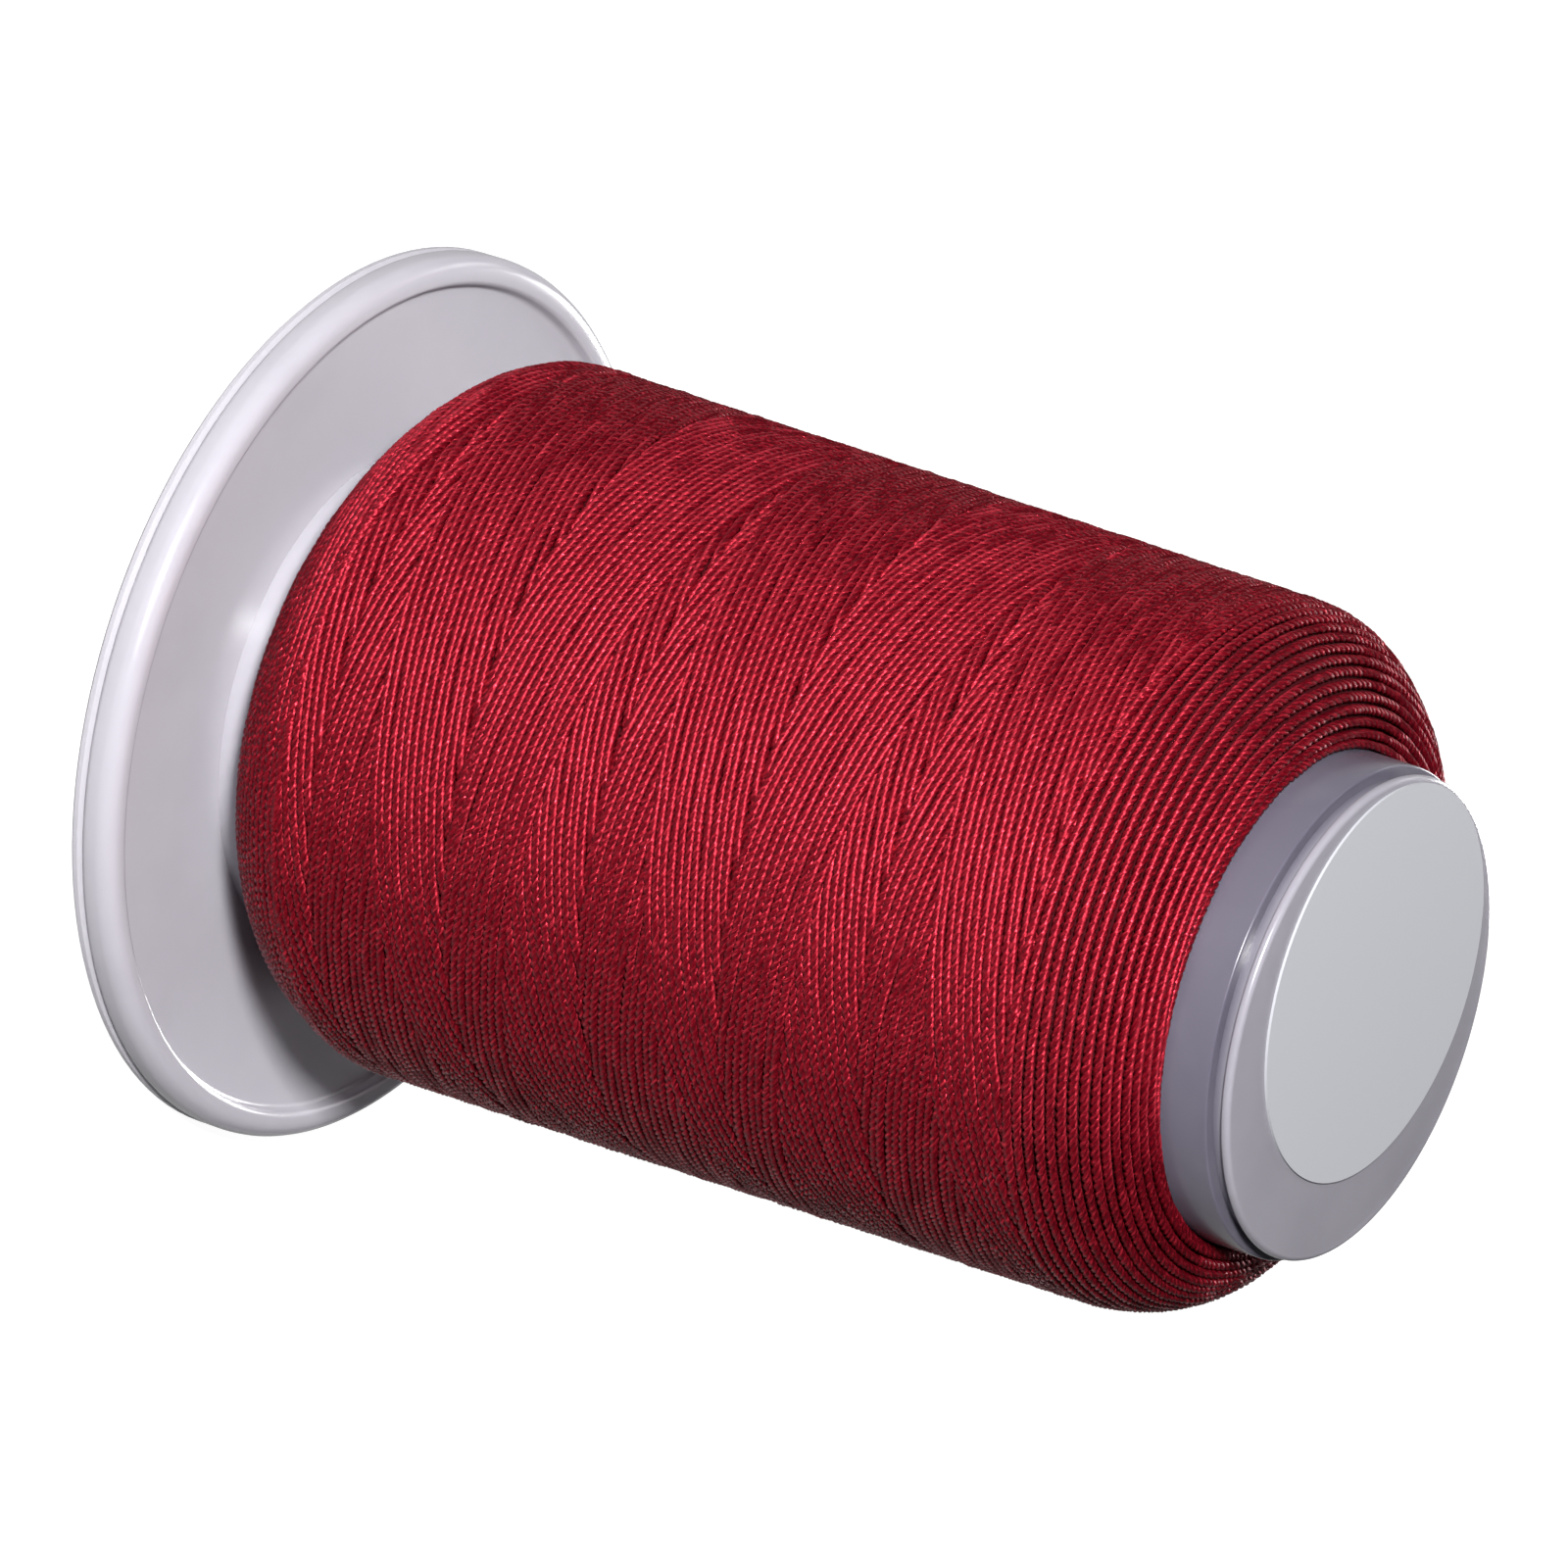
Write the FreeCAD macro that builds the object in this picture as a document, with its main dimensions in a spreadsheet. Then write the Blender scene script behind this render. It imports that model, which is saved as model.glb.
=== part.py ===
"""Spool of thread: a tapered moulded barrel with a clip-on base, a paper end label and a wound thread package."""
import FreeCAD, Part
import math
import os
import Sketcher

Vector = FreeCAD.Vector

os.makedirs("parts", exist_ok=True)
doc = FreeCAD.newDocument("thread_spool")

# Driving dimensions in millimetres, counts as plain numbers
DIMENSIONS = {
    "overall_height": 67.5,
    "flange_radius": 26.0,
    "base_thickness": 0.7,
    "base_edge_chamfer": 0.2,
    "base_hole_radius": 7.4,
    "seat_gap": 0.1,
    "flange_thickness": 1.1,
    "lip_height": 0.8,
    "lip_width": 1.6,
    "lip_chamfer": 0.5,
    "barrel_foot_radius": 14.9,
    "neck_radius": 13.9,
    "groove_radius": 13.2,
    "groove_width": 0.7,
    "cap_radius": 13.6,
    "cap_thickness": 0.5,
    "cap_chamfer": 0.2,
    "barrel_wall": 1.5,
    "end_wall": 1.4,
    "spindle_bore_radius": 5.5,
    "hub_wall": 1.2,
    "hub_height": 3.4,
    "rib_count": 4,
    "rib_thickness": 1.0,
    "rib_height": 3.6,
    "snap_ring_height": 5.8,
    "snap_ring_wall": 1.1,
    "snap_clearance": 0.1,
    "bead_depth": 0.3,
    "bead_width": 0.8,
    "bead_height": 4.1,
    "base_travel": 2.0,
    "slot_clearance": 0.3,
    "label_radius": 11.2,
    "label_thickness": 0.15,
    "label_offset": 2.1,
    "cord_radius": 0.3,
    "package_foot_radius": 20.8,
    "package_top_radius": 19.6,
    "package_foot_round": 3.0,
    "package_shoulder_length": 6.5,
    "bare_neck_length": 3.2,
    "body_turns": 5,
    "shoulder_turns": 5,
    "shoulder_pitch": 1.35,
    "cord_bend_radius": 1.0,
}

sheet = doc.addObject("Spreadsheet::Sheet", "Sizes")
for row, (alias, number) in enumerate(DIMENSIONS.items(), start=1):
    sheet.set(f"A{row}", alias)
    sheet.set(f"B{row}", str(number))
    sheet.setAlias(f"B{row}", alias)
doc.recompute()


class Size(float):
    """A length that remembers the sheet formula it comes from."""

    def __new__(cls, number, formula):
        size = super().__new__(cls, number)
        size.formula = formula
        return size

    def _join(self, sign, other, number):
        return Size(number, f"({self.formula} {sign} {getattr(other, 'formula', other)})")

    def __add__(self, other):
        return self._join("+", other, float(self) + float(other))

    def __sub__(self, other):
        return self._join("-", other, float(self) - float(other))

    def __mul__(self, other):
        return self._join("*", other, float(self) * float(other))

    def __truediv__(self, other):
        return self._join("/", other, float(self) / float(other))


def size(alias):
    return Size(sheet.get(alias), f"Sizes.{alias}")


# Heights and radii that several pieces share
overall_height = size("overall_height")
flange_radius = size("flange_radius")
base_thickness = size("base_thickness")
flange_bottom = base_thickness + size("seat_gap")
flange_top = flange_bottom + size("flange_thickness")
barrel_foot_radius = size("barrel_foot_radius")
neck_radius = size("neck_radius")
groove_top = overall_height - size("cap_thickness")
neck_height = groove_top - size("groove_width")
ceiling = overall_height - size("end_wall")
socket_radius = barrel_foot_radius - size("barrel_wall")
hub_radius = size("spindle_bore_radius") + size("hub_wall")
snap_clearance = size("snap_clearance")
ring_radius = socket_radius - snap_clearance
ring_top = base_thickness + size("snap_ring_height")
bead_radius = ring_radius + size("bead_depth")
bead_bottom = base_thickness + size("bead_height")
bead_top = bead_bottom + size("bead_width")
cord_radius = size("cord_radius")
wall_slope = (neck_radius - barrel_foot_radius) / (neck_height - flange_top)

# A rounded end of the package is this many flats, and a turn of the cord this many pairs of arcs
END_FLATS = 3
TURN_PARTS = 4
CORD_SIDES = 4
# Lengths and shares of a turn nearer than this are the same
NEAR = 0.001


def plane(body, role):
    return next(item for item in body.Origin.OriginFeatures if item.Role == role)


def new_body(name):
    body = doc.addObject("PartDesign::Body", name)
    body.Label = name
    return body


def new_sketch(body, name, role):
    sketch = body.newObject("Sketcher::SketchObject", name)
    sketch.AttachmentSupport = [(plane(body, role), "")]
    sketch.MapMode = "FlatFace"
    return sketch


def bind(sketch, kind, places, value):
    """Add one dimension and tie it to the sheet."""
    index = sketch.addConstraint(Sketcher.Constraint(kind, *places, float(value)))
    sketch.setExpression(f"Constraints[{index}]", getattr(value, "formula", str(value)))


def place_point(sketch, geometry, end, corner):
    """Hold a point at its radius and height."""
    for kind, axis, value in (("DistanceX", -2, corner[0]), ("DistanceY", -1, corner[1])):
        if float(value) == 0:
            sketch.addConstraint(Sketcher.Constraint("PointOnObject", geometry, end, axis))
        else:
            bind(sketch, kind, (-1, 1, geometry, end), value)


def draw_profile(sketch, corners):
    """Closed profile of straight sides through corners of (radius, height), all tied to the sheet."""
    points = [Vector(float(radius), float(height), 0) for radius, height in corners]
    count = len(points)
    for index in range(count):
        sketch.addGeometry(Part.LineSegment(points[index], points[(index + 1) % count]), False)
    for index, corner in enumerate(corners):
        sketch.addConstraint(Sketcher.Constraint("Coincident", (index - 1) % count, 2, index, 1))
        place_point(sketch, index, 1, corner)


def revolve(body, name, corners):
    sketch = new_sketch(body, f"{name}_profile", "XZ_Plane")
    draw_profile(sketch, corners)
    turned = body.newObject("PartDesign::Revolution", name)
    turned.Profile = sketch
    turned.ReferenceAxis = (sketch, ["V_Axis"])
    turned.Angle = 360
    return turned


def repeat_round(body, name, feature, count):
    pattern = body.newObject("PartDesign::PolarPattern", name)
    pattern.Originals = [feature]
    pattern.Axis = (plane(body, "Z_Axis"), [""])
    pattern.Angle = 360
    pattern.setExpression("Occurrences", count.formula)
    body.Tip = pattern


def upright_plate(body, kind, name, corners, thickness):
    """Pad or pocket of a radial plate, half to each side of the XZ plane."""
    sketch = new_sketch(body, f"{name}_profile", "XZ_Plane")
    draw_profile(sketch, corners)
    plate = body.newObject(kind, name)
    plate.Profile = sketch
    plate.Midplane = True
    plate.setExpression("Length", thickness.formula)
    return plate


def make_barrel():
    """Flange with its raised lip, tapered wall, grooved neck, end wall, spindle hub and ribs."""
    body = new_body("barrel")
    lip_top = flange_top + size("lip_height")
    lip_inside = flange_radius - size("lip_width")
    lip_chamfer = size("lip_chamfer")
    groove_radius = size("groove_radius")
    cap_radius = size("cap_radius")
    cap_chamfer = size("cap_chamfer")
    bore = size("spindle_bore_radius")
    hub_bottom = size("hub_height")
    inner_top = neck_radius - size("barrel_wall")
    socket_top = ring_top + snap_clearance
    snap_groove_radius = bead_radius + snap_clearance
    snap_groove_top = bead_top + snap_clearance
    snap_groove_bottom = bead_bottom - size("base_travel") - snap_clearance
    revolve(body, "barrel_wall", [
        (socket_radius, flange_bottom),
        (flange_radius, flange_bottom),
        (flange_radius, lip_top - lip_chamfer),
        (flange_radius - lip_chamfer, lip_top),
        (lip_inside + lip_chamfer, lip_top),
        (lip_inside, lip_top - lip_chamfer),
        (lip_inside, flange_top),
        (barrel_foot_radius, flange_top),
        (neck_radius, neck_height),
        (groove_radius, neck_height),
        (groove_radius, groove_top),
        (cap_radius, groove_top),
        (cap_radius, overall_height - cap_chamfer),
        (cap_radius - cap_chamfer, overall_height),
        (bore, overall_height),
        (bore, hub_bottom),
        (hub_radius, hub_bottom),
        (hub_radius, ceiling),
        (inner_top, ceiling),
        (socket_radius, socket_top),
        (socket_radius, snap_groove_top),
        (snap_groove_radius, snap_groove_top),
        (snap_groove_radius, snap_groove_bottom),
        (socket_radius, snap_groove_bottom),
    ])
    rib_bottom = size("rib_height")
    half_wall = size("barrel_wall") / 2
    half_hub = size("hub_wall") / 2
    half_end = size("end_wall") / 2
    rib = upright_plate(body, "PartDesign::Pad", "rib", [
        (hub_radius - half_hub, rib_bottom),
        (barrel_foot_radius - half_wall, rib_bottom),
        (neck_radius - half_wall, ceiling + half_end),
        (hub_radius - half_hub, ceiling + half_end),
    ], size("rib_thickness"))
    repeat_round(body, "ribs", rib, size("rib_count"))
    return body


def make_snap_base():
    """Thin base plate whose slotted snap ring clicks into the barrel's foot."""
    body = new_body("snap_base")
    hole = size("base_hole_radius")
    ring_inside = ring_radius - size("snap_ring_wall")
    edge_chamfer = size("base_edge_chamfer")
    underside = base_thickness * 0
    revolve(body, "plate_and_ring", [
        (hole, underside),
        (flange_radius - edge_chamfer, underside),
        (flange_radius, edge_chamfer),
        (flange_radius, base_thickness - edge_chamfer),
        (flange_radius - edge_chamfer, base_thickness),
        (ring_radius, base_thickness),
        (ring_radius, bead_bottom),
        (bead_radius, bead_bottom),
        (bead_radius, bead_top - size("bead_depth")),
        (ring_radius, bead_top),
        (ring_radius, ring_top),
        (ring_inside, ring_top),
        (ring_inside, base_thickness),
        (hole, base_thickness),
    ])
    slot_bottom = size("rib_height") - size("slot_clearance")
    slot_margin = size("snap_ring_wall")
    slot = upright_plate(body, "PartDesign::Pocket", "rib_slot", [
        (ring_inside - slot_margin, slot_bottom),
        (bead_radius + slot_margin, slot_bottom),
        (bead_radius + slot_margin, ring_top + slot_margin),
        (ring_inside - slot_margin, ring_top + slot_margin),
    ], size("rib_thickness") + size("slot_clearance") * 2)
    repeat_round(body, "rib_slots", slot, size("rib_count"))
    return body


def make_end_label():
    """Paper disc stuck over the spindle hole, a little off centre."""
    body = new_body("end_label")
    sketch = new_sketch(body, "label_circle", "XY_Plane")
    sketch.setExpression("AttachmentOffset.Base.z", overall_height.formula)
    offset, radius = size("label_offset"), size("label_radius")
    sketch.addGeometry(Part.Circle(Vector(-offset, 0, 0), Vector(0, 0, 1), radius), False)
    sketch.addConstraint(Sketcher.Constraint("PointOnObject", 0, 3, -1))
    bind(sketch, "DistanceX", (0, 3, -1, 1), offset)
    bind(sketch, "Radius", (0,), radius)
    pad = body.newObject("PartDesign::Pad", "label_paper")
    pad.Profile = sketch
    pad.setExpression("Length", size("label_thickness").formula)
    return body


def wall_radius(height):
    """Radius of the barrel's tapered wall at a height."""
    return barrel_foot_radius + wall_slope * (height - flange_top)


def package_line():
    """Corners of the wound package's outer line, from the flange over both rounded ends to the neck."""
    foot_radius, top_radius = size("package_foot_radius"), size("package_top_radius")
    foot_round, shoulder_length = size("package_foot_round"), size("package_shoulder_length")
    end_height = neck_height - size("bare_neck_length")
    shoulder_start = end_height - shoulder_length
    shoulder_depth = top_radius - wall_radius(end_height)
    angles = [math.pi / 2 * flat / END_FLATS for flat in range(END_FLATS + 1)]
    foot = [(foot_radius - foot_round * (1 - math.sin(angle)), flange_top + foot_round * (1 - math.cos(angle)))
            for angle in angles]
    shoulder = [(top_radius - shoulder_depth * (1 - math.cos(angle)), shoulder_start + shoulder_length
                 * math.sin(angle)) for angle in angles]
    return foot + shoulder


def make_thread_core():
    """Inner layers of thread, wound tight on the barrel from the flange to the neck."""
    body = new_body("thread_core")
    revolve(body, "package", [(barrel_foot_radius, flange_top), *package_line()])
    return body


class Meridian:
    """The line that the outer turns' centre follows over the package, a cord's radius above its flats."""

    def __init__(self, corners, stand_off):
        points = [Vector(float(radius), float(height), 0) for radius, height in corners]
        self.pieces = []
        for index in range(len(points) - 1):
            along = (points[index + 1] - points[index]).normalize()
            lift = self.outwards(along) * stand_off
            if self.pieces:
                before = self.pieces[-1].EndPoint
                bulge = (before - points[index] + lift).normalize() * stand_off
                self.pieces.append(Part.Arc(before, points[index] + bulge, points[index] + lift))
            self.pieces.append(Part.LineSegment(points[index] + lift, points[index + 1] + lift))
        self.length = sum(piece.length() for piece in self.pieces)

    @staticmethod
    def outwards(along):
        return Vector(along.y, -along.x, 0)

    def at(self, distance):
        """Radius and height of the cord's centre, so far along the line."""
        for piece in self.pieces:
            if distance <= piece.length() or piece is self.pieces[-1]:
                break
            distance -= piece.length()
        return piece.value(piece.parameterAtDistance(distance, piece.FirstParameter))

    def reach(self, height):
        """Distance along the line to where it has risen to a height."""
        low, high = 0.0, self.length
        while high - low > NEAR:
            middle = (low + high) / 2
            low, high = (middle, high) if self.at(middle).y < height else (low, middle)
        return high


def biarc(start, start_way, end, end_way):
    """Two tangent arcs from one point and direction to another."""
    chord = end - start
    ways = start_way + end_way
    a = 2 * (start_way.dot(end_way) - 1)
    b = -2 * chord.dot(ways)
    c = chord.dot(chord)
    reach = (-b - math.sqrt(b * b - 4 * a * c)) / (2 * a)
    first_corner, second_corner = start + start_way * reach, end - end_way * reach
    joint = (first_corner + second_corner) * 0.5
    return [tangent_arc(start, first_corner, joint), tangent_arc(joint, second_corner, end)]


def tangent_arc(start, corner, end):
    """Arc from start to end whose end tangents meet at the corner."""
    half_chord = (end - start) * 0.5
    middle = start + half_chord
    rise = corner - middle
    half_angle = math.atan2(rise.Length, half_chord.Length)
    top = middle + rise.normalize() * (half_chord.Length * math.tan(half_angle / 2))
    return Part.Arc(start, top, end)


def make_thread_turns():
    """The outer layer of turns: one unbroken cord wound from the foot to the neck."""
    line = Meridian(package_line(), float(cord_radius))
    bend = float(size("cord_bend_radius"))
    straight = 2 * float(cord_radius)
    body_turns, shoulder_turns = int(size("body_turns")), int(size("shoulder_turns"))
    shoulder_pitch = float(size("shoulder_pitch"))
    # The first turn starts above the flange, high enough for its straight end and its bend
    first = line.reach(float(flange_top) + straight + bend)
    last = line.length - bend - straight
    shoulder_start = last - shoulder_turns * shoulder_pitch
    body_pitch = (shoulder_start - first) / body_turns

    def centre(turn):
        """Point of the cord's centre line after so many turns."""
        if turn <= body_turns:
            distance = first + turn * body_pitch
        else:
            distance = shoulder_start + (turn - body_turns) * shoulder_pitch
        place = line.at(distance)
        angle = 2 * math.pi * turn
        return Vector(place.x * math.cos(angle), place.x * math.sin(angle), place.y)

    def way(turn):
        return (centre(turn + NEAR) - centre(turn - NEAR)).normalize()

    turns = [part / TURN_PARTS for part in range((body_turns + shoulder_turns) * TURN_PARTS + 1)]
    edges = []
    # The foot end comes straight up from the flange and bends into the first turn
    foot_turn = centre(0)
    foot_point = foot_turn - way(0) * bend - Vector(0, 0, bend)
    flange_point = Vector(foot_point.x, foot_point.y, float(flange_top))
    edges.append(Part.LineSegment(flange_point, foot_point))
    edges += biarc(foot_point, Vector(0, 0, 1), foot_turn, way(0))
    for before, after in zip(turns, turns[1:]):
        edges += biarc(centre(before), way(before), centre(after), way(after))
    # The neck end bends inwards and runs straight to the barrel
    last_turn, last_way = centre(turns[-1]), way(turns[-1])
    inwards = Vector(-last_turn.x, -last_turn.y, 0).normalize()
    neck_point = last_turn + last_way * bend + inwards * bend
    to_axis = Vector(-neck_point.x, -neck_point.y, 0)
    wall_distance = to_axis.Length - float(wall_radius(neck_point.z))
    to_axis.normalize()
    wall_point = neck_point + to_axis * wall_distance
    edges += biarc(last_turn, last_way, neck_point, to_axis)
    edges.append(Part.LineSegment(neck_point, wall_point))

    path = Part.Wire([edge.toShape() for edge in edges])
    side_angle = 2 * math.pi / CORD_SIDES
    corners = [Vector(math.cos(side * side_angle), math.sin(side * side_angle), 0) * float(cord_radius)
               for side in range(CORD_SIDES)]
    section = Part.makePolygon([flange_point + corner for corner in corners + corners[:1]])
    pipe = Part.BRepOffsetAPI.MakePipeShell(path)
    pipe.add(section)
    pipe.build()
    pipe.makeSolid()
    cord = doc.addObject("Part::Feature", "thread_turns")
    cord.Label = "thread_turns"
    cord.Shape = pipe.shape()
    cord.Placement = FreeCAD.Placement()

    # Points of the cord's centre less than a tenth of a turn apart along it are one place, not two
    points = path.discretize(Distance=float(cord_radius))
    skip = int(math.pi * float(neck_radius) / 5 / float(cord_radius))
    gap = min(points[i].distanceToPoint(points[j]) for i in range(len(points))
              for j in range(i + skip, len(points))) - 2 * float(cord_radius)
    area = CORD_SIDES / 2 * float(cord_radius) ** 2 * math.sin(side_angle)
    print(f"thread_turns: {len(turns) // TURN_PARTS} loops, {path.Length:.0f} mm of cord, "
          f"least gap {gap:.2f} mm, volume {cord.Shape.Volume:.1f} of {area * path.Length:.1f} mm3")
    return cord


pieces = [make_barrel(), make_snap_base(), make_end_label(), make_thread_core(), make_thread_turns()]
doc.recompute()

failed = [item.Name for item in doc.Objects if "Invalid" in item.State or "Error" in item.State]
if failed:
    raise RuntimeError(f"features failed: {failed}")
for piece in pieces:
    shape = piece.Shape
    if shape.isNull() or not shape.isValid() or len(shape.Solids) != 1:
        raise RuntimeError(f"{piece.Label}: not one valid solid")
for piece in pieces:
    piece.Shape.exportStep(f"parts/{piece.Label}.step")
    print(f"{piece.Label}: {piece.Shape.Volume:.1f} mm3")
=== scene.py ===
"""A spool of sewing thread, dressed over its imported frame."""
import math

import bmesh
import bpy
import numpy as np
from bpy.props import FloatProperty, FloatVectorProperty, PointerProperty
from mathutils import Matrix, Vector


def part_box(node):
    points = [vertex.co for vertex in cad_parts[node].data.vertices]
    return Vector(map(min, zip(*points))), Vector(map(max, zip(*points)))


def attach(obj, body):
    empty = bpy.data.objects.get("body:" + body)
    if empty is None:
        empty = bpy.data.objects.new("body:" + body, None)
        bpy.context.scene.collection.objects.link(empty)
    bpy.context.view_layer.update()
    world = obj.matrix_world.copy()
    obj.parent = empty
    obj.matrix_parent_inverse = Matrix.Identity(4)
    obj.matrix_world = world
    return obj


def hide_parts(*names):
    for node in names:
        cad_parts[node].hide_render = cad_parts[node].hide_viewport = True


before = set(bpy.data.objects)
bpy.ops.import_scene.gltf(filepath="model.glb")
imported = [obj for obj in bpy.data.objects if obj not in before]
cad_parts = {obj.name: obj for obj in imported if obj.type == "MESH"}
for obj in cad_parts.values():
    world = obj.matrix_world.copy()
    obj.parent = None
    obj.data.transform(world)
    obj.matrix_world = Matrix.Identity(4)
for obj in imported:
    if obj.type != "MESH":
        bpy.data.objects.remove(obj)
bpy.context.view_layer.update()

bl_info = {
    "name": "Thread spool builder",
    "version": (1, 0, 0),
    "blender": (4, 5, 0),
    "location": "View3D > Sidebar > Spool",
    "description": "Builds the wound thread, the moulded spool and its studio",
    "category": "Object",
}

MM = 0.001
SPOOL_BODY = "spool"

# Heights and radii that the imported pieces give
BARREL_LOW, BARREL_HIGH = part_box("barrel")
CORE_LOW, CORE_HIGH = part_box("thread_core")
FLANGE_RADIUS = BARREL_HIGH.x
TOP_HEIGHT = BARREL_HIGH.z
FLANGE_BOTTOM = BARREL_LOW.z
FLANGE_TOP = CORE_LOW.z
PACKAGE_END = CORE_HIGH.z

# Radii of the barrel's tapered wall at the flange and at the neck
WALL_AT_FLANGE = 14.9 * MM
WALL_AT_NECK = 13.9 * MM
# Inner radii of the thread on that wall, at the package's foot and at its shoulder
THREAD_AT_FOOT = 14.95 * MM
THREAD_AT_SHOULDER = 14.0 * MM
# The hub's outer radius, and the height of the end wall's inner side
HUB_RADIUS = 6.7 * MM
CEILING = TOP_HEIGHT - 1.4 * MM

PLIES = 3


def linear(hex_colour):
    """Linear colour with full alpha from an sRGB hex value."""
    channels = [int(hex_colour[place:place + 2], 16) / 255 for place in (0, 2, 4)]
    curve = [c / 12.92 if c <= 0.04045 else ((c + 0.055) / 1.055) ** 2.4 for c in channels]
    return (*curve, 1.0)


def srgb_default(hex_colour):
    """A colour property's default from an sRGB hex value."""
    return linear(hex_colour)[:3]


class SpoolSizes(bpy.types.PropertyGroup):
    """Sizes of the thread and of the moulded edges"""

    cord: FloatProperty(name="Cord", description="Thickness of the twisted thread",
                        default=0.56 * MM, unit="LENGTH")
    twist_length: FloatProperty(name="Twist length",
                                description="Length of one full turn of the three plies",
                                default=1.7 * MM, unit="LENGTH")
    ring_step: FloatProperty(name="Ring step", description="Distance between the cord's rings of points",
                             default=0.28 * MM, unit="LENGTH")
    wind_pitch: FloatProperty(name="Winding pitch", description="Rise of the crossing thread in one turn",
                              default=18.0 * MM, unit="LENGTH")
    unevenness: FloatProperty(name="Unevenness", description="How far the thread strays from its even lay",
                              default=0.035 * MM, unit="LENGTH")
    layer_drop: FloatProperty(name="Layer drop", description="How far a thread sinks where it goes under",
                              default=0.42 * MM, unit="LENGTH")
    package_radius: FloatProperty(name="Package radius",
                                  description="Radius over the thread near the flange",
                                  default=21.0 * MM, unit="LENGTH")
    package_taper: FloatProperty(name="Package taper",
                                 description="How much narrower the package is at its shoulder",
                                 default=0.85 * MM, unit="LENGTH")
    shoulder_length: FloatProperty(name="Shoulder length",
                                   description="Height of the rounded end of the package",
                                   default=6.4 * MM, unit="LENGTH")
    shoulder_pitch: FloatProperty(name="Shoulder pitch",
                                  description="Distance between the turns on the shoulder",
                                  default=0.62 * MM, unit="LENGTH")
    lip_width: FloatProperty(name="Lip width", description="Width of the flange's raised lip",
                             default=1.6 * MM, unit="LENGTH")
    lip_height: FloatProperty(name="Lip height", description="Height of the lip over the flange",
                              default=0.8 * MM, unit="LENGTH")
    foot_length: FloatProperty(name="Foot length", description="Height of the package's rounded foot",
                               default=6.0 * MM, unit="LENGTH")
    foot_gap: FloatProperty(name="Foot gap", description="Bare barrel between the flange and the thread",
                            default=2.0 * MM, unit="LENGTH")
    package_offset: FloatProperty(name="Package offset", description="How far the thread lies to one side",
                                  default=0.85 * MM, unit="LENGTH")


class SpoolColours(bpy.types.PropertyGroup):
    """Colours of the finishes"""

    thread: FloatVectorProperty(name="Thread", description="Colour of the dyed thread in full light",
                                subtype="COLOR", size=3, default=srgb_default("5a040f"))
    # Painted highlight: a lighter colour for the glints on the raised fibre bundles
    thread_painted_glint: FloatVectorProperty(name="Thread fleck", description="Colour of the brightest fibres",
                                      subtype="COLOR", size=3, default=srgb_default("98222f"))
    # Painted shade for the grooves between the plies
    thread_shade: FloatVectorProperty(name="Thread shade", description="Colour between the plies",
                                      subtype="COLOR", size=3, default=srgb_default("2c040a"))
    plastic: FloatVectorProperty(name="Plastic", description="Colour of the clouded plastic",
                                 subtype="COLOR", size=3, default=srgb_default("bebbc3"))
    # Painted shade: a greyer colour for the dark hollow that shows through the barrel's wall
    hollow: FloatVectorProperty(name="Hollow", description="Colour of the plastic over the hollow barrel",
                                subtype="COLOR", size=3, default=srgb_default("625e6c"))
    label: FloatVectorProperty(name="Label", description="Colour of the label paper",
                               subtype="COLOR", size=3, default=srgb_default("a4a5aa"))


def add_node(tree, kind, settings=None, links=None):
    """One node, with its settings and input values, linked from other nodes' outputs."""
    node = tree.nodes.new(kind)
    for name, value in (settings or {}).items():
        if isinstance(name, int) or name in node.inputs:
            node.inputs[name].default_value = value
        else:
            setattr(node, name, value)
    for name, source in (links or {}).items():
        tree.links.new(source, node.inputs[name])
    return node


def new_material(name, surface):
    """A material whose surface shader starts from these values, with its tree and shader."""
    material = bpy.data.materials.new(name)
    material.use_nodes = True
    tree = material.node_tree
    shader = tree.nodes["Principled BSDF"]
    for socket, value in surface.items():
        shader.inputs[socket].default_value = value
    return material, tree, shader


def link_piece(name, mesh):
    """A new object at the origin that shows a mesh."""
    piece = bpy.data.objects.new(name, mesh)
    bpy.context.scene.collection.objects.link(piece)
    return piece


def link_shape(name, shape):
    """A new object at the origin from a bmesh, which is freed."""
    mesh = bpy.data.meshes.new(name)
    shape.to_mesh(mesh)
    shape.free()
    return link_piece(name, mesh)


def finish_mesh(mesh, material):
    """Gives a mesh its one material."""
    mesh.materials.clear()
    mesh.materials.append(material)


def dress(piece, material, body, replaced=()):
    """Finish, body and slot of a new piece, and the nodes that it replaces."""
    finish_mesh(piece.data, material)
    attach(piece, body)
    if replaced:
        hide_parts(*replaced)


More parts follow.
